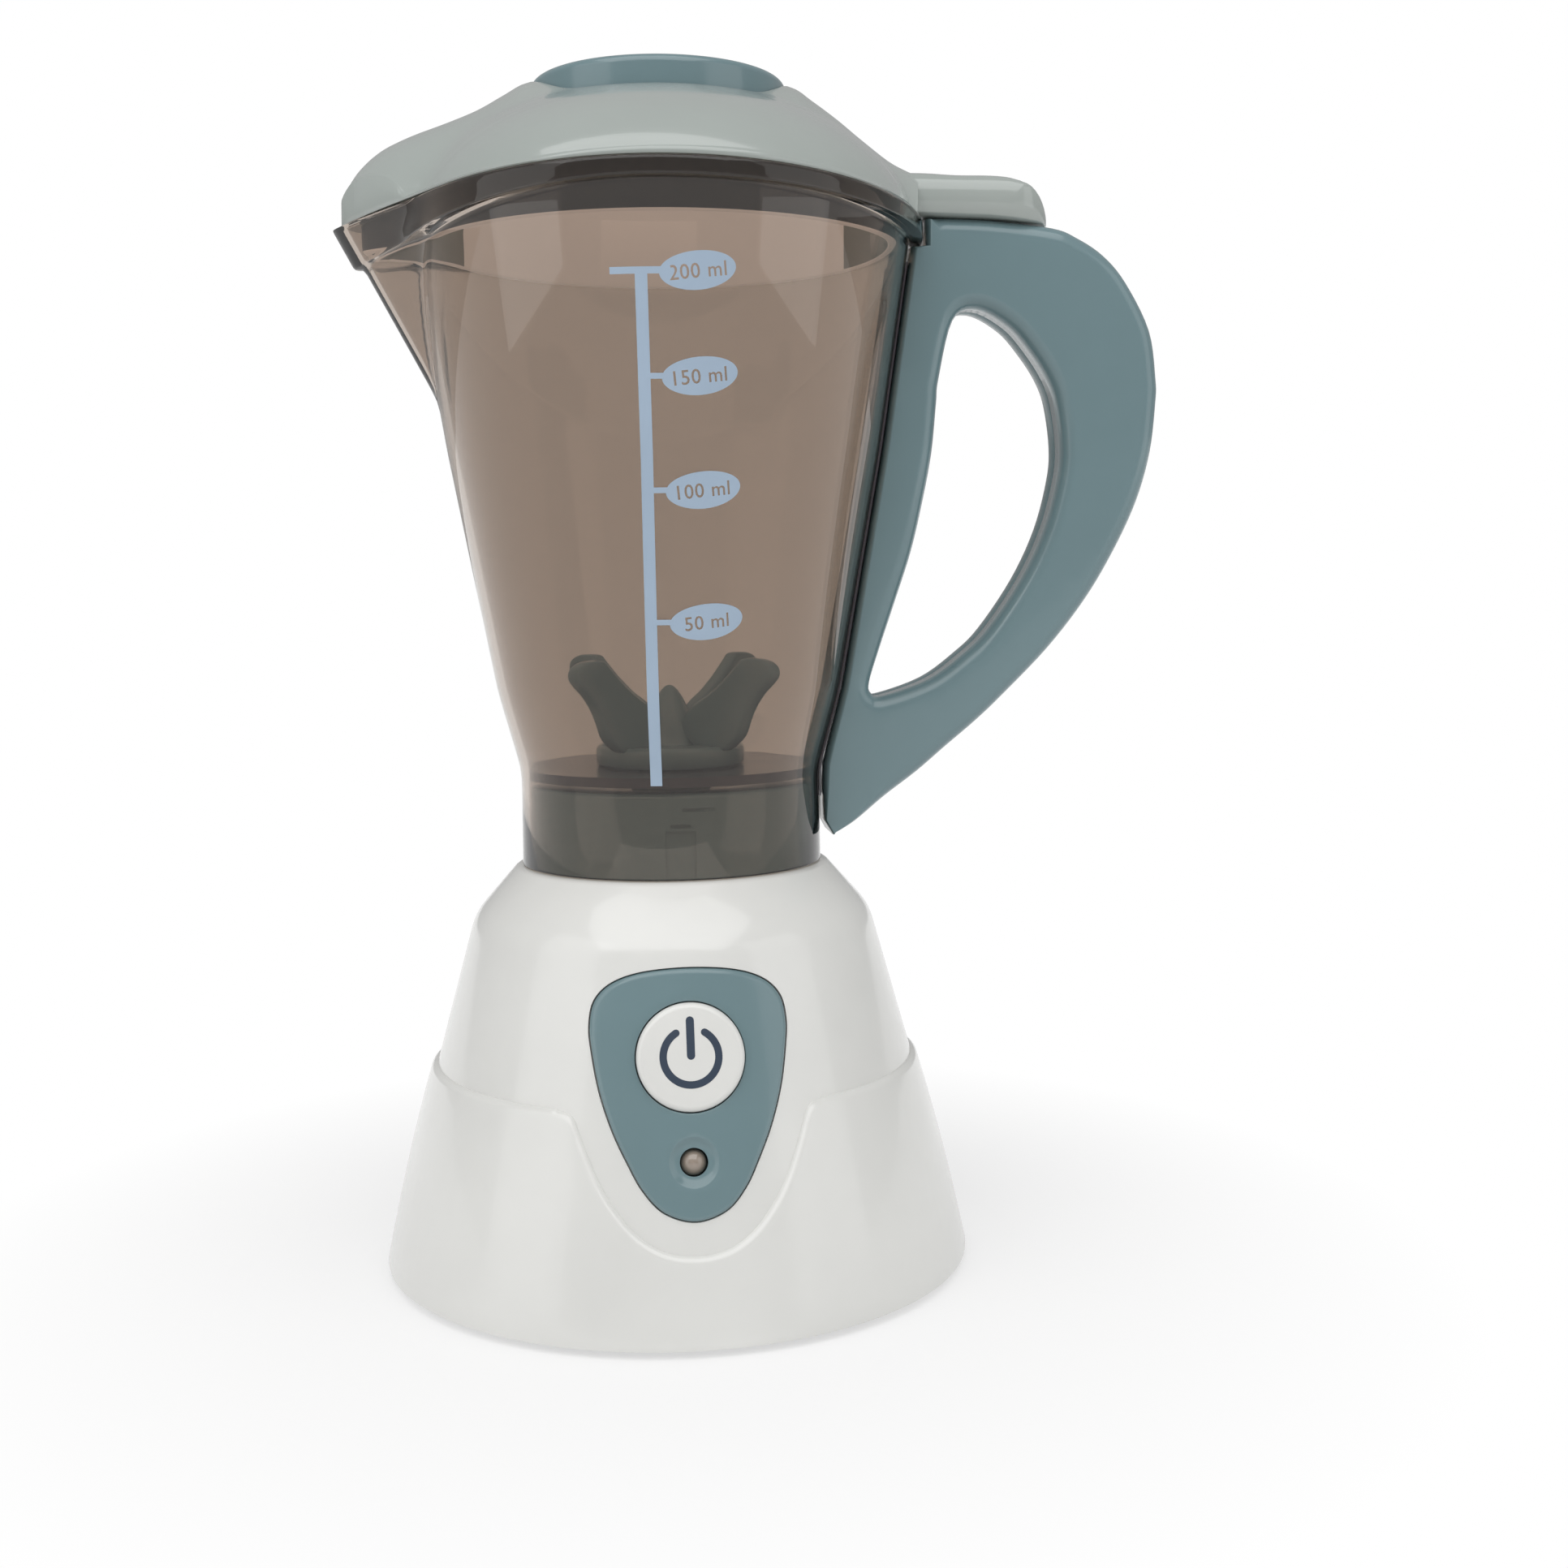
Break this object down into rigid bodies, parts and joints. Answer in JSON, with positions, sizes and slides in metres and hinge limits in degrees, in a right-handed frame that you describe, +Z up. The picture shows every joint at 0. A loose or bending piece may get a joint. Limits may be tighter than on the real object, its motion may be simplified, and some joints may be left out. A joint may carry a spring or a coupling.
{
  "type": "toy blender",
  "caption": "Toy blender: tapered base with push-button, lamp and geared motor drive, lift-off smoked jug with handle and spinning fin blade, and a lift-off lid.",
  "frame": {"origin": "on the floor under the base's axis, in the plane that the foot ring stands on", "axes": "+Z up along the base's axis, -Y towards the control panel, +X towards the jug's handle, -X towards its spout"},
  "size_m": [0.1658, 0.1198, 0.237],
  "materials": {
    "white_plastic": "glossy moulded ABS",
    "accent_plastic": "satin moulded ABS, blue-grey",
    "lid_plastic": "satin moulded ABS, blue-grey",
    "smoke_plastic": "clear smoke-tinted polystyrene",
    "lamp_lens": "diffused lamp lens",
    "board_green": "solder-masked circuit board",
    "black_plastic": "matt",
    "nylon": "natural nylon",
    "screw_steel": "zinc-plated steel",
    "motor_steel": "drawn steel",
    "brass": "machined",
    "copper_winding": "enamelled copper on a laminated core",
    "foot_rubber": "matt rubber",
    "cell_sleeve": "printed steel can, left plain",
    "wire_sleeve": "wire insulation"
  },
  "bodies": {
    "base": {"base_housing": "white_plastic", "jug_seat": "accent_plastic", "seat_screws": "screw_steel", "control_panel": "accent_plastic", "indicator_led": "lamp_lens", "circuit_board": "board_green", "board_screws": "screw_steel", "switch_body": "black_plastic", "bottom_cover": "white_plastic", "cover_screws": "screw_steel", "foot_ring": "foot_rubber", "battery_cell_1": "cell_sleeve", "battery_cell_2": "cell_sleeve", "battery_contacts": "screw_steel", "battery_springs": "screw_steel", "gear_frame": "nylon", "gear_frame_screws": "screw_steel", "motor_can": "motor_steel", "motor_endcap": "black_plastic", "motor_terminals": "brass", "motor_screws": "screw_steel", "lead_wires": "wire_sleeve", "output_bush": "brass", "button_spring": "screw_steel"},
    "button": {"power_button": "white_plastic", "switch_plunger": "nylon"},
    "door": {"battery_door": "white_plastic", "door_screw": "screw_steel"},
    "rotor": {"motor_shaft": "screw_steel", "motor_armature": "copper_winding", "motor_pinion": "brass"},
    "drive": {"output_shaft": "screw_steel", "drive_gear": "nylon", "drive_dog": "nylon"},
    "jug": {"jug_shell": "smoke_plastic", "handle_front_half": "accent_plastic", "handle_rear_half": "accent_plastic", "handle_screws": "screw_steel", "blade_bush": "brass"},
    "rotating_blade": {"blade": "accent_plastic", "blade_shaft": "screw_steel", "driven_dog": "nylon", "blade_washer": "screw_steel"},
    "lid": {"lid_shell": "lid_plastic", "lid_cap": "accent_plastic"}
  },
  "joints": [
    {"name": "button_press", "type": "slide", "parent": "base", "child": "button", "axis": [0, 0.9635, -0.2679], "range_m": [0, 0.002], "stiffness_N_per_m": 400, "springref_m": -0.001, "deforming": ["button_spring"]},
    {"name": "drive_spin", "type": "hinge", "parent": "base", "child": "drive", "pos_m": [0, 0, 0.09], "axis": [0, 0, 1], "continuous": true},
    {"name": "motor_spin", "type": "hinge", "parent": "base", "child": "rotor", "pos_m": [0, 0.0201, 0.05], "axis": [0, 0, 1], "continuous": true},
    {"name": "jug_lift", "type": "slide", "parent": "base", "child": "jug", "axis": [0, 0, 1], "range_m": [0, 0.06]},
    {"name": "blade_spin", "type": "hinge", "parent": "jug", "child": "rotating_blade", "pos_m": [0, 0, 0.1], "axis": [0, 0, 1], "continuous": true},
    {"name": "lid_lift", "type": "slide", "parent": "jug", "child": "lid", "axis": [0, 0, 1], "range_m": [0, 0.05]},
    {"name": "door_drop", "type": "slide", "parent": "base", "child": "door", "axis": [0, 0, -1], "range_m": [0, 0.02]}
  ],
  "couplings": [
    {"joint": "drive_spin", "follows": "motor_spin", "ratio": -0.25},
    {"joint": "blade_spin", "follows": "motor_spin", "ratio": -0.25}
  ]
}
